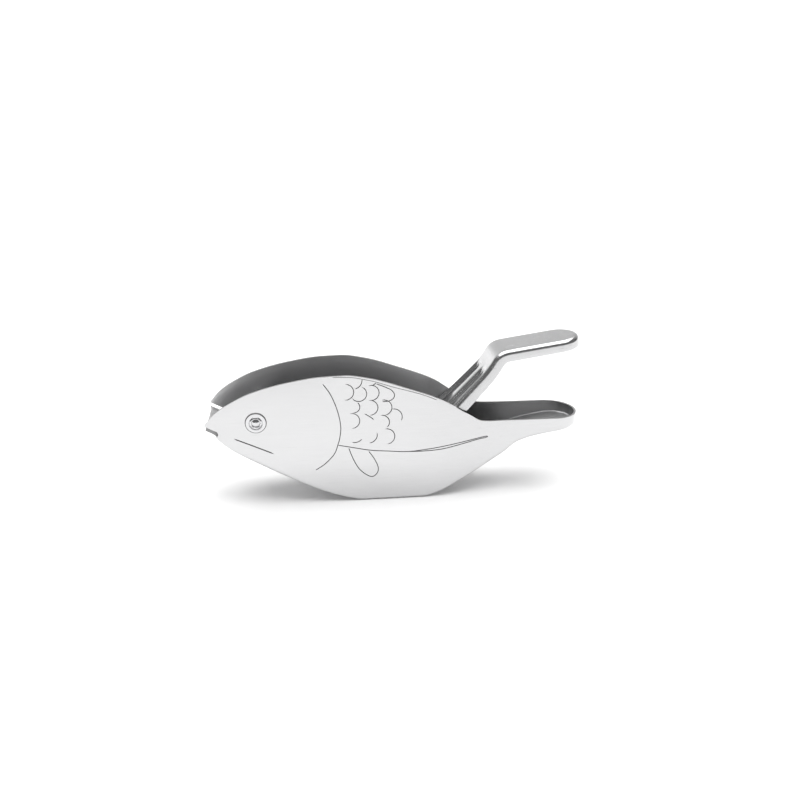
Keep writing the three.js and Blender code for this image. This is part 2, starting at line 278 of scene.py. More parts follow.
def lofted(sections, lay=None, closed=True):
    """A skin over equally long rows of points in millimetres, each row one section.

    The rows are laid on a grid, whose coinciding points are merged and whose open ends are
    filled if the sections are closed. lay gives each point's place in the brushed grain.
    """
    rows = [row + row[:1] for row in sections] if closed else sections
    across = len(rows[0])
    bm = bmesh.new()
    bmesh.ops.create_grid(bm, x_segments=across - 1, y_segments=len(rows) - 1, size=1.0)
    grain = bm.verts.layers.float_vector.new("lay")
    bm.verts.ensure_lookup_table()
    for i, vert in enumerate(bm.verts):
        row, column = divmod(i, across)
        vert.co = Vector(rows[row][column]) * MM
        if lay:
            vert[grain] = Vector(lay[row][column % len(lay[row])]) * MM
    bmesh.ops.remove_doubles(bm, verts=bm.verts, dist=1e-7)
    if closed:
        open_edges = [edge for edge in bm.edges if edge.is_boundary]
        if open_edges:
            bmesh.ops.holes_fill(bm, edges=open_edges, sides=0)
    bmesh.ops.recalc_face_normals(bm, faces=bm.faces)
    return bm


def plate(outline, y_from, y_to, round_over=0.0):
    """A flat plate with its outline in x and z, between two values of y, in millimetres."""
    bm = bmesh.new()
    bm.verts.layers.float_vector.new("lay")
    corners = [bm.verts.new((x * MM, y_from * MM, z * MM)) for x, z in outline]
    face = bm.faces.new(corners)
    grown = bmesh.ops.extrude_face_region(bm, geom=[face])["geom"]
    moved = [item for item in grown if isinstance(item, bmesh.types.BMVert)]
    bmesh.ops.translate(bm, verts=moved, vec=(0.0, (y_to - y_from) * MM, 0.0))
    bmesh.ops.recalc_face_normals(bm, faces=bm.faces)
    if round_over:
        bmesh.ops.bevel(
            bm, geom=[e for e in bm.edges if e.calc_face_angle() > math.radians(60)],
            offset=round_over * MM, segments=3, profile=0.5, affect="EDGES", material=-1,
        )
    grain = bm.verts.layers.float_vector["lay"]
    for vert in bm.verts:
        vert[grain] = (vert.co.x, vert.co.z, 0.0)
    return bm


def rod(x, z, radius, y_from, y_to, segments=48):
    """A rod along y, in millimetres."""
    bm = bmesh.new()
    turned = Matrix.Translation((x * MM, (y_from + y_to) / 2 * MM, z * MM))
    turned @= Matrix.Rotation(math.radians(90.0), 4, "X")
    bmesh.ops.create_cone(
        bm, cap_ends=True, segments=segments, radius1=radius * MM, radius2=radius * MM,
        depth=(y_to - y_from) * MM, matrix=turned,
    )
    return bm


def round_edges(bm, radius, segments, sharper_than=60.0):
    """Rounds every edge of the mesh that turns by more than the given degrees."""
    sharp = [
        edge for edge in bm.edges
        if edge.is_manifold and edge.calc_face_angle() > math.radians(sharper_than)
    ]
    bmesh.ops.bevel(
        bm, geom=sharp, offset=radius * MM, segments=segments, profile=0.5,
        affect="EDGES", material=-1, clamp_overlap=True,
    )


def object_from(name, bm, *materials):
    """The mesh as an object with its materials, put in the scene."""
    mesh = bpy.data.meshes.new(name)
    bm.to_mesh(mesh)
    bm.free()
    made = bpy.data.objects.new(name, mesh)
    for material in materials:
        mesh.materials.append(material)
    bpy.context.scene.collection.objects.link(made)
    return made


def combined(piece, cutter_mesh, operation, *materials):
    """Joins a second mesh to the piece, or cuts it out, with a Boolean that is applied."""
    cutter = object_from("cutter", cutter_mesh, *materials)
    change = piece.modifiers.new("change", "BOOLEAN")
    change.operation = operation
    change.object = cutter
    change.solver = "MANIFOLD"
    if materials:
        change.material_mode = "TRANSFER"
    graph = bpy.context.evaluated_depsgraph_get()
    changed = bpy.data.meshes.new_from_object(piece.evaluated_get(graph))
    piece.modifiers.clear()
    old, old_cutter = piece.data, cutter.data
    piece.data = changed
    bpy.data.objects.remove(cutter)
    bpy.data.meshes.remove(old_cutter)
    name = old.name
    bpy.data.meshes.remove(old)
    changed.name = name
    if not changed.polygons:
        raise RuntimeError(f"{piece.name}: the {operation} left nothing")


def finished(piece, body, nodes, crease=28.0):
    """Smooth shading that breaks at creases, and the piece's place in the frame."""
    bm = bmesh.new()
    bm.from_mesh(piece.data)
    for face in bm.faces:
        face.smooth = True
    for edge in bm.edges:
        edge.smooth = not edge.is_manifold or edge.calc_face_angle() < math.radians(crease)
    bm.to_mesh(piece.data)
    bm.free()
    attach(piece, body)
    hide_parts(*nodes)


# ------------------------------------------------------------------ finishes

class Wire:
    """A value in a material's nodes. Arithmetic on it adds Math nodes."""

    def __init__(self, finish, socket):
        self.finish = finish
        self.socket = socket

    def math(self, operation, first, second):
        settings = {"operation": operation}
        return self.finish.node("ShaderNodeMath", settings, {0: first, 1: second})

    def __add__(self, other):
        return self.math("ADD", self, other)

    __radd__ = __add__

    def __mul__(self, other):
        return self.math("MULTIPLY", self, other)

    __rmul__ = __mul__

    def __sub__(self, other):
        return self.math("SUBTRACT", self, other)

    def __rsub__(self, other):
        return self.math("SUBTRACT", other, self)


class Finish:
    """One material, whose nodes are added by node()."""

    def __init__(self, name):
        self.material = bpy.data.materials.new(name)
        self.material.use_nodes = True
        self.tree = self.material.node_tree
        self.shader = next(n for n in self.tree.nodes if n.type == "BSDF_PRINCIPLED")

    def node(self, kind, settings=None, inputs=None, output=0):
        """Adds a node: its settings first, then the values or links of its sockets."""
        made = self.tree.nodes.new(kind)
        for key, value in (settings or {}).items():
            if key == "stops":
                ramp = made.color_ramp
                while len(ramp.elements) < len(value):
                    ramp.elements.new(0.5)
                for element, (place, shade) in zip(ramp.elements, value):
                    element.position = place
                    element.color = (shade, shade, shade, 1.0)
            else:
                setattr(made, key, value)
        self.feed(made, inputs or {})
        return Wire(self, made.outputs[output])

    def feed(self, made, inputs):
        """Links or sets the sockets of a node."""
        for key, value in inputs.items():
            if isinstance(value, Wire):
                self.tree.links.new(value.socket, made.inputs[key])
            else:
                made.inputs[key].default_value = value

    def noise(self, place, stretch, turn=(0.0, 0.0, 0.0), detail=2.0, offset=(0, 0, 0)):
        """Noise whose cells are 1 / stretch metres long in each direction."""
        moved = self.node("ShaderNodeMapping", {"vector_type": "POINT"}, {
            "Vector": place, "Location": offset, "Rotation": turn, "Scale": stretch,
        })
        return self.node("ShaderNodeTexNoise", {"noise_dimensions": "3D"}, {
            "Vector": moved, "Scale": 1.0, "Detail": detail, "Roughness": 0.55,
        })

    def ramp(self, value, *stops):
        return self.node("ShaderNodeValToRGB", {"stops": stops}, {"Fac": value})

    def tint(self, share, dark, light):
        """A colour between dark and light, each a colour or a wire."""
        ends = [end if isinstance(end, Wire) else (*end, 1.0) for end in (dark, light)]
        return self.node("ShaderNodeMix", {"data_type": "RGBA"}, {
            "Factor": share, 6: ends[0], 7: ends[1],
        }, output=2)

    def bump(self, height, strength, distance):
        return self.node("ShaderNodeBump", None, {
            "Height": height, "Strength": strength, "Distance": distance,
        })


def steel(name, colour, roughness, grain_from, grain, bump, worn=0.03):
    """Stainless steel with a brushed grain, faint smears and fine scratches."""
    finish = Finish(name)
    objects = finish.node("ShaderNodeTexCoord", output=3)
    lay = objects
    if grain_from == "lay":
        lay = finish.node("ShaderNodeAttribute", {"attribute_name": "lay"}, output=1)
    coarse = finish.noise(lay, (70.0, 1900.0, 1900.0), detail=3.0)
    fine = finish.noise(lay, (190.0, 7000.0, 7000.0), detail=2.0, offset=(3.1, 1.7, 0.4))
    smears = finish.noise(objects, (55.0, 55.0, 75.0), turn=(0.2, 0.5, 0.1), detail=4.0)
    cloud = finish.noise(objects, (18.0, 18.0, 22.0), detail=1.0, offset=(7.0, 2.0, 5.0))
    nick_one = finish.noise(
        objects, (90.0, 2600.0, 2600.0), turn=(0.1, math.radians(34.0), 0.2), detail=1.0,
    )
    nick_two = finish.noise(
        objects, (110.0, 2900.0, 2900.0), turn=(0.0, math.radians(-52.0), 0.6), detail=1.0,
        offset=(1.0, 5.0, 9.0),
    )
    scratches = finish.ramp(nick_one, (0.70, 0.0), (0.76, 1.0))
    scratches = scratches + finish.ramp(nick_two, (0.71, 0.0), (0.78, 1.0))
    brushed = coarse * 0.6 + fine * 0.4
    smeared = finish.ramp(smears, (0.42, 0.0), (0.68, 1.0))
    shade = (brushed - 0.5) * grain + cloud * 0.5 + 0.25 - scratches * 0.12
    dark = tuple(channel * 0.88 for channel in colour)
    light = tuple(min(channel * 1.1, 1.0) for channel in colour)
    rough = (brushed - 0.5) * 0.12 + smeared * worn + scratches * 0.08 + roughness
    relief = brushed + scratches * -0.6
    finish.feed(finish.shader, {
        "Base Color": finish.tint(shade, dark, light),
        "Metallic": 1.0,
        "Roughness": rough,
        "Normal": finish.bump(relief, bump, 0.00004),
    })
    return finish.material


def matt_steel(name, colour):
    """Steel that no polish has reached: matt, gritty, and dark in patches. With a dark colour
    it is the painted shade in the engravings and round the rivet heads; with a pale one it is
    the painted light on the lip.
    """
    finish = Finish(name)
    objects = finish.node("ShaderNodeTexCoord", output=3)
    grit = finish.noise(objects, (2400.0, 2400.0, 2400.0), detail=3.0)
    patches = finish.noise(objects, (260.0, 260.0, 260.0), detail=2.0, offset=(4.0, 1.0, 2.0))
    share = grit * 0.4 + patches * 0.6
    dark = tuple(channel * 0.5 for channel in colour)
    finish.feed(finish.shader, {
        "Base Color": finish.tint(share, dark, colour),
        "Metallic": 1.0,
        "Roughness": grit * 0.2 + 0.38,
        "Normal": finish.bump(grit, 0.3, 0.00003),
    })
    return finish.material


# ------------------------------------------------------------------ trough

rim_height = smooth_height(RIM)
floor_height = smooth_height(FLOOR)


def trough_half_width(x):
    """The trough narrows from the body to the tail."""
    return mix(BODY_HALF_WIDTH, TAIL_HALF_WIDTH, ease(x, TAPER_FROM_X, TAPER_TO_X))


def trough_stations():
    """Places along the trough: each turns (inward, share) into a point (x, y)."""
    lengthwise = (
        spread(LIP_X, -65.6, 26) + spread(-65.6, -15.0, 52)[1:]
        + spread(-15.0, 9.0, 12)[1:] + spread(9.0, TAIL_CENTRE_X, 52)[1:]
    )
    straight = [(x, 0.0) for x in lengthwise]
    return straight + [(TAIL_CENTRE_X, turn) for turn in spread(0.0, math.pi / 2, 22)[1:]]


def trough_section(station):
    """The outer skin at a station, from the left rim round the floor to the right rim."""
    x, turn = station

    def point(side, inward, height):
        across = trough_half_width(x) - inward
        px = x + across * math.sin(turn)
        return (px, side * across * math.cos(turn), height(px))

    edge_x = x + trough_half_width(x) * math.sin(turn)
    depth = rim_height(edge_x) - floor_height(edge_x)
    corner = min(BODY_CORNER, SHALLOW_CORNER * depth)
    wall = depth - corner
    support = min(0.5, 0.3 * wall)
    drops = [0.0] + [(wall - support) * s for s in (0.25, 0.5, 0.75, 1.0)] + [wall]
    places = [(0.0, lambda px, d=drop: rim_height(px) - d) for drop in drops]
    for angle in spread(0.0, math.pi / 2, 9)[1:]:
        lift = corner * (1.0 - math.sin(angle))
        inset = corner * (1.0 - math.cos(angle))
        places.append((inset, lambda px, up=lift: floor_height(px) + up))
    left = [point(-1.0, *place) for place in places]
    right = [point(1.0, *place) for place in reversed(places)]
    start, end = Vector(left[-1]), Vector(right[0])
    spare = min(0.5 / max((end - start).length, 1e-6), 0.1)
    middle = [
        tuple(start.lerp(end, share)) for share in (spare, 0.25, 0.5, 0.75, 1.0 - spare)
    ]
    return left + middle + right


# an engraved line's section: (share of the half width, share of the depth below the wall,
# or millimetres above it)
ENGRAVED_SECTION = ((-1.15, 0.12), (-0.75, -0.7), (0.0, -1.0), (0.75, -0.7), (1.15, 0.12))
LINE_END_WIDTH, LINE_END_DEPTH = 0.25, 0.5


def groove_cutter(line, side, width, depth):
    """A thin tapered bar along the line on a wall, which cuts one engraved line."""
    count = len(line)
    sections = []
    for i, at in enumerate(line):
        before, after = Vector(line[max(i - 1, 0)]), Vector(line[min(i + 1, count - 1)])
        heading = (after - before).normalized()
        aside = Vector((-heading.y, heading.x))
        at_end = i in (0, count - 1)
        half = width / 2 * (LINE_END_WIDTH if at_end else 1.0)
        sunk = depth * (LINE_END_DEPTH if at_end else 1.0)
        wall = side * trough_half_width(at[0])
        ring = []
        for across, out in ENGRAVED_SECTION:
            place = Vector(at) + aside * half * across
            reach = out * sunk if out < 0 else out
            ring.append((place.x, wall + side * reach, place.y))
        sections.append(ring)
    return lofted(sections)


def engraved_lines():
    """Every engraved line on one wall, as points, with its width."""
    lines = [(arc_through(*scale, 10), 1.0) for scale in SCALES]
    lines += [(smooth_line(line, 6), 1.0) for line in LONG_LINES]
    lines.append((smooth_line(BACK_LINE, 6), BACK_LINE_SHARE))
    return lines + [(smooth_line(MOUTH_LINE, 5), MOUTH_LINE_SHARE)]


def is_sheared(face):
    """Whether a face of the shell is part of its cut rim or of the lip's front edge."""
    middle = face.calc_center_median() / MM
    near_rim = 0.03
    largest = 1.5 * MM * MM
    on_rim = abs(middle.z - rim_height(middle.x)) < near_rim and abs(face.normal.y) < 0.3
    on_lip = middle.x < LIP_X + 1.0 and face.normal.x < -0.5 and face.normal.z > -0.9
    return on_rim or (on_lip and face.calc_area() < largest)


# the trough's material slots
POLISHED, INSIDE, SHEARED, LIP = range(4)


class SQUEEZER_OT_trough(bpy.types.Operator):
    """Build the drawn trough with its rounded rim, mouth, eye holes and engraved fish"""

    bl_idname = "squeezer.trough"
    bl_label = "Trough"

    def execute(self, context):
        sizes = context.scene.squeezer
        bm = lofted([trough_section(station) for station in trough_stations()], closed=False)
        if max(bm.faces, key=lambda f: f.calc_center_median().y).normal.y < 0:
            bmesh.ops.reverse_faces(bm, faces=bm.faces)
        skin = set(bm.faces)
        bmesh.ops.solidify(bm, geom=bm.faces[:] + bm.edges[:] + bm.verts[:],
                           thickness=BODY_SHEET * MM)
        bmesh.ops.recalc_face_normals(bm, faces=bm.faces)
        for face in bm.faces:
            face.material_index = POLISHED if face in skin else INSIDE
            if is_sheared(face):
                face.material_index = SHEARED
        polished = steel("polished_steel", sizes.sheet_colour, sizes.sheet_roughness,
                         "object", 0.7, 0.25)
        inside = steel("inside_steel", sizes.inside_colour, sizes.inside_roughness,
                       "object", 0.3, 0.07)
        sheared = matt_steel("sheared_steel", sizes.edge_colour)
        # painted light: the lip's matt steel is made pale so that the tongue looks lit
        lip = matt_steel("painted_light_lip", sizes.lip_painted_light_colour)
        trough = object_from("trough", bm, polished, inside, sheared, lip)
        outside = BODY_HALF_WIDTH + 1.0
        for side in (-1.0, 1.0):
            ends = sorted((side * outside, side * LIP_HALF_WIDTH))
            combined(trough, plate(MOUTH_SLIT, *ends), "DIFFERENCE", sheared)
            flange = sorted((side * LIP_HALF_WIDTH, side * (LIP_HALF_WIDTH - LIP_FLANGE)))
            combined(trough, plate(FLANGE_OUTLINE, *flange), "UNION", sheared)
        combined(trough, rod(EYE_X, EYE_Z, EYE_HOLE, -outside, outside), "DIFFERENCE")
        bm = bmesh.new()
        bm.from_mesh(trough.data)
        bmesh.ops.dissolve_degenerate(bm, dist=1e-7, edges=bm.edges)
        # the lip's faces, between its flanges, take the pale finish that paints light on the
        # tongue
        for face in bm.faces:
            middle = face.calc_center_median() / MM
            if middle.x < LIP_FROM_X and abs(middle.y) < LIP_HALF_WIDTH - LIP_FLANGE / 2:
                face.material_index = LIP
        round_edges(bm, sizes.rim_round / MM, 4)
        bm.to_mesh(trough.data)
        bm.free()
        # painted shade: the engraved grooves get a dark matt finish that paints the shade
        # inside them
        dark = matt_steel("engraved_painted_shade", sizes.painted_shade_colour)
        for side in (-1.0, 1.0):
            for line, wide in engraved_lines():
                cutter = groove_cutter(
                    line, side, sizes.engraving_width / MM * wide,
                    sizes.engraving_depth / MM,
                )
                combined(trough, cutter, "DIFFERENCE", dark)
        finished(trough, "trough", ["trough_body"])
        return {"FINISHED"}


# ------------------------------------------------------------------ press lever

LEVER_CORNERS = (
    PLATE_FRONT, PLATE_TOE, PLATE_HEEL, LEG_FOOT, LEG_TOP, HANDLE_BEND, HANDLE_TIP,
)


class LeverLine:
    """The line of the web's upper face: straight runs joined by smooth bends."""

    def __init__(self):
        points = [Vector((x, z)) for x, z, _ in LEVER_CORNERS]
        line = [points[0]]
        for i in range(1, len(points) - 1):
            corner, reach = points[i], LEVER_CORNERS[i][2]
            start = corner + (points[i - 1] - corner).normalized() * reach
            end = corner + (points[i + 1] - corner).normalized() * reach
            for t in spread(0.0, 1.0, 24):
                line.append((1 - t) ** 2 * start + 2 * t * (1 - t) * corner + t * t * end)
        line.append(points[-1])
        self.points = line
        self.distances = [0.0]
        for a, b in zip(line, line[1:]):
            self.distances.append(self.distances[-1] + (b - a).length)
        self.length = self.distances[-1]

    def point(self, distance):
        """The point on the line at a distance from its start."""
        inside = min(max(distance, 0.0), self.length)
        i = min(bisect_right(self.distances, inside) - 1, len(self.points) - 2)
        span = self.distances[i + 1] - self.distances[i]
        share = (inside - self.distances[i]) / span if span else 0.0
        return self.points[i].lerp(self.points[i + 1], share)

    def at(self, distance):
        """The point, and the way the line heads there, evened out over half a millimetre."""
        inside = min(max(distance, 0.0), self.length)
        heading = self.point(inside + 0.25) - self.point(inside - 0.25)
        return self.point(inside), heading.normalized()

    def nearest(self, corner):
        """The distance along the line of the point nearest to a corner."""
        aim = Vector(corner[:2])
        places = spread(0.0, self.length, 900)
        return min(places, key=lambda d: (self.point(d) - aim).length)


lever_line = LeverLine()
toe_at = lever_line.nearest(PLATE_TOE)
foot_at = lever_line.nearest(LEG_FOOT)
leg_top_at = lever_line.nearest(LEG_TOP)
bend_at = lever_line.nearest(HANDLE_BEND)
round_from = lever_line.length - HANDLE_HALF_WIDTH


def lever_half_width(distance):
    flare = ease(distance, foot_at - FLARE_BELOW_FOOT, foot_at + FLARE_ABOVE_FOOT)
    return mix(PLATE_HALF_WIDTH, HANDLE_HALF_WIDTH, flare)


def skirt_depth(distance):
    leg = mix(LEG_SKIRT_DEPTH, SKIRT_DEPTH, ease(distance, foot_at, bend_at))
    return mix(PLATE_SKIRT, leg, ease(distance, foot_at, foot_at + SKIRT_RUN_OUT))


def groove_sink(distance, share):
    """How far the web is pressed down at a share of its half width."""
    front = ease(distance, toe_at, toe_at + GROOVE_RUN_OUT)
    back = 1.0 - ease(distance, leg_top_at - GROOVE_RUN_OUT, leg_top_at)
    inner, inner_full, outer_full, outer = GROOVE_EDGES
    narrow = 0.10 * (1.0 - back)
    across = ease(share, inner + narrow, inner_full + narrow)
    across *= 1.0 - ease(share, outer_full - narrow, outer - narrow)
    return GROOVE_DEPTH * front * back * across


def lever_section(distance, turn):
    """A closed section of the lever's sheet, and each point's place in the grain."""
    depth = skirt_depth(distance)

    def plan(inward):
        if not turn:
            return distance, lever_half_width(distance) - inward
        across = HANDLE_HALF_WIDTH - inward
        return round_from + across * math.sin(turn), across * math.cos(turn)

    def place(along, aside, below):
        point, heading = lever_line.at(along)
        return (point.x + heading.y * below, aside, point.y - heading.x * below)

    edge = SKIRT_EDGE_ROUND
    outer = [
        (edge * (1 - math.sin(a)), depth - edge * (1 - math.cos(a)))
        for a in spread(0.0, math.pi / 2, 4)
    ]
    outer += [(0.0, mix(LEVER_CORNER, depth - edge, s)) for s in (0.7, 0.3)]
    outer += [
        (LEVER_CORNER * (1 - math.cos(a)), LEVER_CORNER * (1 - math.sin(a)))
        for a in spread(0.0, math.pi / 2, 8)
    ]
    reach = LEVER_CORNER - LEVER_SHEET
    inner = [
        (LEVER_SHEET - edge * (1 - math.sin(a)), depth - edge * (1 - math.cos(a)))
        for a in spread(0.0, math.pi / 2, 4)
    ]
    inner += [(LEVER_SHEET, mix(LEVER_CORNER, depth - edge, s)) for s in (0.7, 0.3)]
    inner += [
        (LEVER_SHEET + reach * (1 - math.cos(a)), LEVER_SHEET + reach * (1 - math.sin(a)))
        for a in spread(0.0, math.pi / 2, 5)
    ]
    shares = [s / 16.0 for s in range(-15, 16)]
    web_along, web_aside = plan(LEVER_CORNER)

    def flank(points, side):
        return [
            place(plan(inward)[0], side * plan(inward)[1], below) for inward, below in points
        ]

    def web(lift):
        return [
            place(web_along, web_aside * share, lift + groove_sink(distance, abs(share)))
            for share in shares
        ]

    ring = flank(outer, -1.0) + web(0.0) + flank(outer, 1.0)[::-1]
    ring += flank(inner, 1.0) + web(LEVER_SHEET)[::-1] + flank(inner, -1.0)[::-1]
    flat = distance if not turn else web_along
    grain = [(flat, point[1], point[2] - lever_line.at(flat)[0].y) for point in ring]
    return ring, grain


def lever_stations():
    count = int(foot_at / 1.1)
    places = spread(0.0, foot_at - 1.0, count) + spread(foot_at - 1.0, foot_at + 2.6, 12)[1:]
    places += spread(foot_at + 2.6, round_from, int((round_from - foot_at) / 0.9))[1:]
    return [(place, 0.0) for place in places] + [
        (round_from, turn) for turn in spread(0.0, math.pi / 2, 20)[1:]
    ]


def ear_outline():
    """The outline of an ear, from the press plate up to the hinge."""
    arc = [
        (EYE_X + EAR_RADIUS * math.cos(math.radians(a)),
         EYE_Z + EAR_RADIUS * math.sin(math.radians(a)))
        for a in spread(*EAR_ARC, 24)
    ]
    foot = [(PLATE_TOE[0], PLATE_TOE[1] - 1.0), (PLATE_FRONT[0] + 0.6, PLATE_FRONT[1] - 1.4)]
    return foot + arc


class SQUEEZER_OT_lever(bpy.types.Operator):
    """Build the press lever: handle, ribbed leg, press plate and its two hinge ears"""

    bl_idname = "squeezer.lever"
    bl_label = "Press Lever"

    def execute(self, context):
        sizes = context.scene.squeezer
        made = [lever_section(*station) for station in lever_stations()]
        bm = lofted([ring for ring, _ in made], lay=[grain for _, grain in made])
        satin = steel("satin_steel", sizes.lever_colour, sizes.lever_roughness,
                      "lay", 1.6, 0.5)
        lever = object_from("lever", bm, satin)
        for side in (-1.0, 1.0):
            ends = sorted((side * PLATE_HALF_WIDTH, side * (PLATE_HALF_WIDTH - EAR_THICKNESS)))
            combined(lever, plate(ear_outline(), *ends, round_over=EAR_ROUND), "UNION")
        hole = rod(EYE_X, EYE_Z, EYE_HOLE, -BODY_HALF_WIDTH, BODY_HALF_WIDTH)
        combined(lever, hole, "DIFFERENCE")
        finished(lever, "lever", ["press_lever"])
        return {"FINISHED"}


# ------------------------------------------------------------------ rivets and washers

class SQUEEZER_OT_eye_rivets(bpy.types.Operator):
    """Build the two domed rivets that are the fish's eyes and the hinge pins"""

    bl_idname = "squeezer.eye_rivets"
    bl_label = "Eye Rivets"

    def execute(self, context):
        sizes = context.scene.squeezer
        bright = steel("rivet_steel", sizes.rivet_colour, sizes.rivet_roughness,
                       "object", 0.5, 0.12)
        # painted shade: a dark matt finish on each head's outer edge paints the contact shadow
        # round it
        edge = matt_steel("rivet_outline_painted_shade", sizes.painted_shade_colour)
        for name, side in (("left", -1.0), ("right", 1.0)):
            bm = bmesh.new()
            verts = [
                bm.verts.new((
                    (EYE_X + radius) * MM, side * (BODY_HALF_WIDTH + out) * MM, EYE_Z * MM,
                ))
                for radius, out in RIVET_SECTION
            ]
            edges = [bm.edges.new(pair) for pair in zip(verts, verts[1:])]
            bmesh.ops.spin(
                bm, geom=verts + edges, cent=(EYE_X * MM, 0.0, EYE_Z * MM),
                axis=(0.0, 1.0, 0.0), angle=math.tau, steps=RIVET_STEPS, use_merge=True,
            )
            bmesh.ops.remove_doubles(bm, verts=bm.verts, dist=1e-7)
            bmesh.ops.recalc_face_normals(bm, faces=bm.faces)
            # the faces of the head's edge, beyond its flat ring, take the painted shade
            for face in bm.faces:
                middle = face.calc_center_median() / MM
                radius = math.hypot(middle.x - EYE_X, middle.z - EYE_Z)
                if radius > RIVET_RING_EDGE and abs(middle.y) > BODY_HALF_WIDTH:
                    face.material_index = 1
            rivet = object_from(f"eye_{name}", bm, bright, edge)
            finished(rivet, "trough", [f"eye_rivet_{name}"], crease=40.0)
        return {"FINISHED"}


class SQUEEZER_OT_washers(bpy.types.Operator):
    """Give the two washers between ears and walls their steel finish"""

    bl_idname = "squeezer.washers"
    bl_label = "Washers"

    def execute(self, context):
        sizes = context.scene.squeezer
        plain = steel("washer_steel", sizes.rivet_colour, 0.34, "object", 0.9, 0.3)
        for name in ("washer_left", "washer_right"):
            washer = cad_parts[name]
            washer.data.materials.clear()
            washer.data.materials.append(plain)
        return {"FINISHED"}


# ------------------------------------------------------------------ stage

# the studio, in metres
FLOOR_DEPTH = 3.2
BACKDROP_AT = 1.1
BACKDROP_BEND = 0.5
BACKDROP_TOP = 2.4
STAGE_HALF_WIDTH = 3.2
PAPER_GLOW = 0.72
SOFTBOX_AT = (0.0, 0.05, 1.1)
SOFTBOX_SIZE = (1.7, 1.5)
SOFTBOX_WATTS = 25.0
CAMERA_TARGET = (0.00099, 0.0, 0.03707)
CAMERA_AZIMUTH = 6.6
CAMERA_ELEVATION = 20.5
CAMERA_DISTANCE = 0.340
CAMERA_LENS = 38.1


def backdrop():
    """A sheet that runs along the floor and bends up behind the object."""
    profile = [(-FLOOR_DEPTH, 0.0), (BACKDROP_AT, 0.0)]
    profile += [
        (BACKDROP_AT + BACKDROP_BEND * math.sin(a), BACKDROP_BEND * (1 - math.cos(a)))
        for a in spread(0.0, math.pi / 2, 12)[1:]
    ]
    profile.append((BACKDROP_AT + BACKDROP_BEND, BACKDROP_TOP))
    bm = bmesh.new()
    verts = [bm.verts.new((-STAGE_HALF_WIDTH, y, z)) for y, z in profile]
    edges = [bm.edges.new(pair) for pair in zip(verts, verts[1:])]
    grown = bmesh.ops.extrude_edge_only(bm, edges=edges)["geom"]
    moved = [item for item in grown if isinstance(item, bmesh.types.BMVert)]
    bmesh.ops.translate(bm, verts=moved, vec=(2 * STAGE_HALF_WIDTH, 0.0, 0.0))
    bmesh.ops.recalc_face_normals(bm, faces=bm.faces)
    if sum(face.normal.z for face in bm.faces) < 0:
        bmesh.ops.reverse_faces(bm, faces=bm.faces)
    for face in bm.faces:
        face.smooth = True
    return bm


def paper(colour, glow):
    """White paper that glows as painted light, weakly near the object and fully away from it,
    with glow and colour painted darker towards its upper end.
    """
    finish = Finish("studio_paper")
    objects = finish.node("ShaderNodeTexCoord", output=3)
    away = finish.node("ShaderNodeVectorMath", {"operation": "LENGTH"}, {0: objects}, output=1)
    share = finish.node("ShaderNodeMapRange", {"interpolation_type": "SMOOTHSTEP"}, {
        "Value": away, "From Min": 0.25, "From Max": 1.0, "To Min": 0.09, "To Max": 1.0,
    })
    height = finish.node("ShaderNodeSeparateXYZ", None, {0: objects}, output=2)
    fade = finish.node("ShaderNodeMapRange", {"interpolation_type": "SMOOTHSTEP"}, {
        "Value": height, "From Min": 0.23, "From Max": 0.50, "To Min": 1.0, "To Max": 0.25,
    })
    speckle = finish.noise(objects, (900.0, 900.0, 900.0), detail=2.0)
    pale = finish.tint(speckle, tuple(channel * 0.985 for channel in colour), colour)
    grey = tuple(channel * 0.6 for channel in colour)
    finish.feed(finish.shader, {
        "Base Color": finish.tint(fade, grey, pale),
        "Roughness": 0.9,
        "Emission Color": finish.tint(share * fade, (0.0, 0.0, 0.0), (1.0, 1.0, 1.0)),
        "Emission Strength": glow,
        "Specular IOR Level": 0.0,
    })
    return finish.material


def softbox(name, place, size, power):
    """A rectangular studio light that faces the middle of the stage."""
    lamp = bpy.data.lights.new(name, "AREA")
    lamp.shape = "RECTANGLE"
    lamp.size, lamp.size_y = size
    lamp.energy = power
    made = bpy.data.objects.new(name, lamp)
    made.location = place
    made.rotation_euler = Vector(place).to_track_quat("Z", "Y").to_euler()
    bpy.context.scene.collection.objects.link(made)


class SQUEEZER_OT_stage(bpy.types.Operator):
    """Build the pale studio: paper sweep, softbox, surroundings and camera"""

    bl_idname = "squeezer.stage"
    bl_label = "Studio Stage"

    def execute(self, context):
        sizes = context.scene.squeezer
        scene = context.scene
        sweep = object_from("paper_sweep", backdrop(), paper(sizes.paper_colour, PAPER_GLOW))
        softbox("top_softbox", SOFTBOX_AT, SOFTBOX_SIZE, SOFTBOX_WATTS)
        world = bpy.data.worlds.new("studio")
        world.use_nodes = True
        room = world.node_tree.nodes["Background"]
        room.inputs["Color"].default_value = (*sizes.room_colour, 1.0)
        room.inputs["Strength"].default_value = 1.0
        scene.world = world
        scene.view_settings.view_transform = "Standard"
        lens = bpy.data.cameras.new("camera")
        lens.lens = CAMERA_LENS
        lens.sensor_width = 36.0
        camera = bpy.data.objects.new("camera", lens)
        azimuth, rise = math.radians(CAMERA_AZIMUTH), math.radians(CAMERA_ELEVATION)
        back = Vector((
            -math.sin(azimuth) * math.cos(rise), -math.cos(azimuth) * math.cos(rise),
            math.sin(rise),
        ))
        camera.location = Vector(CAMERA_TARGET) + back * CAMERA_DISTANCE
        camera.rotation_euler = back.to_track_quat("Z", "Y").to_euler()
        lens.clip_start, lens.clip_end = 0.01, 20.0
        scene.collection.objects.link(camera)
        scene.camera = camera
        return {"FINISHED"}


# ------------------------------------------------------------------ add-on

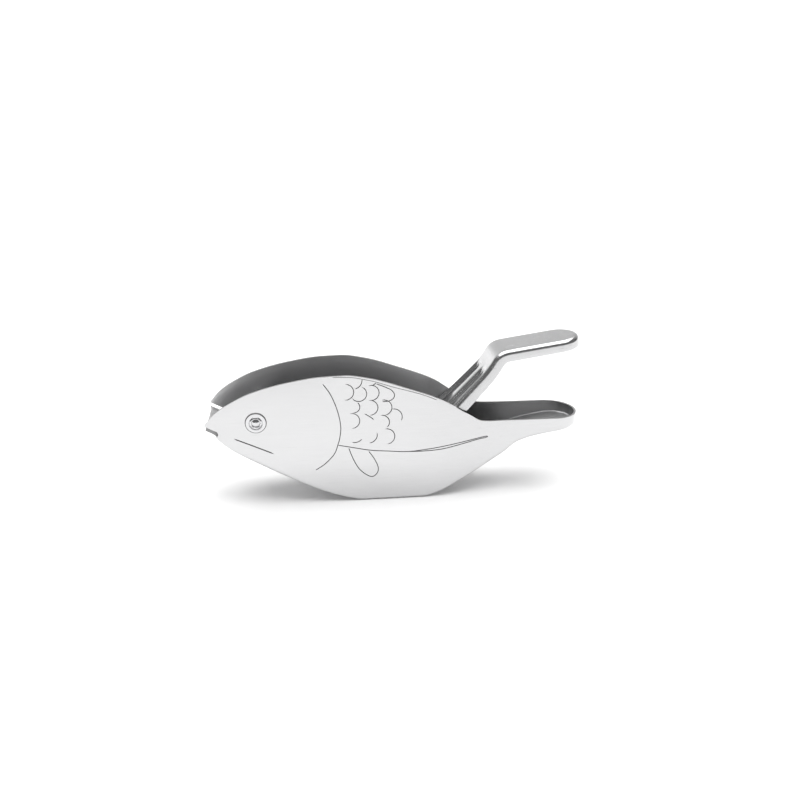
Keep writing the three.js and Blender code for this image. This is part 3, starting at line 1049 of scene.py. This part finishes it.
class SqueezerSizes(bpy.types.PropertyGroup):
    """Sizes and colours of the squeezer that may be changed."""

    rim_round: FloatProperty(
        name="Rim Rounding", description="Radius of the trough's deburred edges",
        default=0.00028, min=0.0001, max=0.0004, unit="LENGTH", subtype="DISTANCE",
    )
    engraving_width: FloatProperty(
        name="Engraving Width", description="Width of the engraved lines",
        default=0.00036, min=0.0001, max=0.001, unit="LENGTH", subtype="DISTANCE",
    )
    engraving_depth: FloatProperty(
        name="Engraving Depth", description="Depth of the engraved lines",
        default=0.00020, min=0.0001, max=0.0005, unit="LENGTH", subtype="DISTANCE",
    )
    sheet_colour: FloatVectorProperty(
        name="Sheet Colour", description="Colour of the trough's polished steel",
        default=(0.60, 0.60, 0.605), min=0.0, max=1.0, size=3, subtype="COLOR",
    )
    edge_colour: FloatVectorProperty(
        name="Edge Colour", description="Colour of the sheared edges of the sheet",
        default=(0.40, 0.40, 0.40), min=0.0, max=1.0, size=3, subtype="COLOR",
    )
    # painted light: a pale colour for the lip that stands in for the light on the tongue
    lip_painted_light_colour: FloatVectorProperty(
        name="Lip Colour", description="Colour of the satin steel of the pouring lip",
        default=(0.95, 0.95, 0.95), min=0.0, max=1.0, size=3, subtype="COLOR",
    )
    inside_colour: FloatVectorProperty(
        name="Inside Colour", description="Colour of the steel inside the trough",
        default=(0.58, 0.58, 0.585), min=0.0, max=1.0, size=3, subtype="COLOR",
    )
    inside_roughness: FloatProperty(
        name="Inside Roughness", description="Roughness of the steel inside the trough",
        default=0.33, min=0.0, max=1.0, subtype="FACTOR",
    )
    sheet_roughness: FloatProperty(
        name="Sheet Roughness", description="Roughness of the polished steel",
        default=0.13, min=0.0, max=1.0, subtype="FACTOR",
    )
    lever_colour: FloatVectorProperty(
        name="Lever Colour", description="Colour of the lever's satin steel",
        default=(0.56, 0.56, 0.565), min=0.0, max=1.0, size=3, subtype="COLOR",
    )
    lever_roughness: FloatProperty(
        name="Lever Roughness", description="Roughness of the satin steel",
        default=0.22, min=0.0, max=1.0, subtype="FACTOR",
    )
    rivet_colour: FloatVectorProperty(
        name="Rivet Colour", description="Colour of the rivets and washers",
        default=(0.62, 0.62, 0.63), min=0.0, max=1.0, size=3, subtype="COLOR",
    )
    rivet_roughness: FloatProperty(
        name="Rivet Roughness", description="Roughness of the rivets",
        default=0.16, min=0.0, max=1.0, subtype="FACTOR",
    )
    # painted shade: the dark colour of the engraved grooves and of the rivet heads' outer
    # edges
    painted_shade_colour: FloatVectorProperty(
        name="Engraving Colour", description="Colour at the bottom of the engraved lines",
        default=(0.22, 0.22, 0.22), min=0.0, max=1.0, size=3, subtype="COLOR",
    )
    paper_colour: FloatVectorProperty(
        name="Paper Colour", description="Colour of the studio paper",
        default=(0.93, 0.93, 0.93), min=0.0, max=1.0, size=3, subtype="COLOR",
    )
    room_colour: FloatVectorProperty(
        name="Room Colour", description="Colour of the dark room in front of the stage",
        default=(0.18, 0.18, 0.18), min=0.0, max=1.0, size=3, subtype="COLOR",
    )


class SQUEEZER_PT_parts(bpy.types.Panel):
    """Sidebar panel with the sizes and a button for each group of pieces"""

    bl_label = "Squeezer"
    bl_idname = "SQUEEZER_PT_parts"
    bl_space_type = "VIEW_3D"
    bl_region_type = "UI"
    bl_category = "Squeezer"

    def draw(self, context):
        sizes = context.scene.squeezer
        for name in SqueezerSizes.__annotations__:
            self.layout.prop(sizes, name)
        for operator in OPERATORS:
            self.layout.operator(operator.bl_idname)


OPERATORS = (
    SQUEEZER_OT_stage, SQUEEZER_OT_trough, SQUEEZER_OT_lever, SQUEEZER_OT_eye_rivets,
    SQUEEZER_OT_washers,
)
CLASSES = (SqueezerSizes, *OPERATORS, SQUEEZER_PT_parts)


def register():
    for each in CLASSES:
        bpy.utils.register_class(each)
    bpy.types.Scene.squeezer = PointerProperty(type=SqueezerSizes)


def unregister():
    del bpy.types.Scene.squeezer
    for each in reversed(CLASSES):
        bpy.utils.unregister_class(each)


def main():
    """Builds every piece and the stage."""
    register()
    bpy.ops.squeezer.stage()
    bpy.ops.squeezer.trough()
    bpy.ops.squeezer.lever()
    bpy.ops.squeezer.eye_rivets()
    bpy.ops.squeezer.washers()
    bpy.context.view_layer.update()


if __name__ == "__main__":
    main()
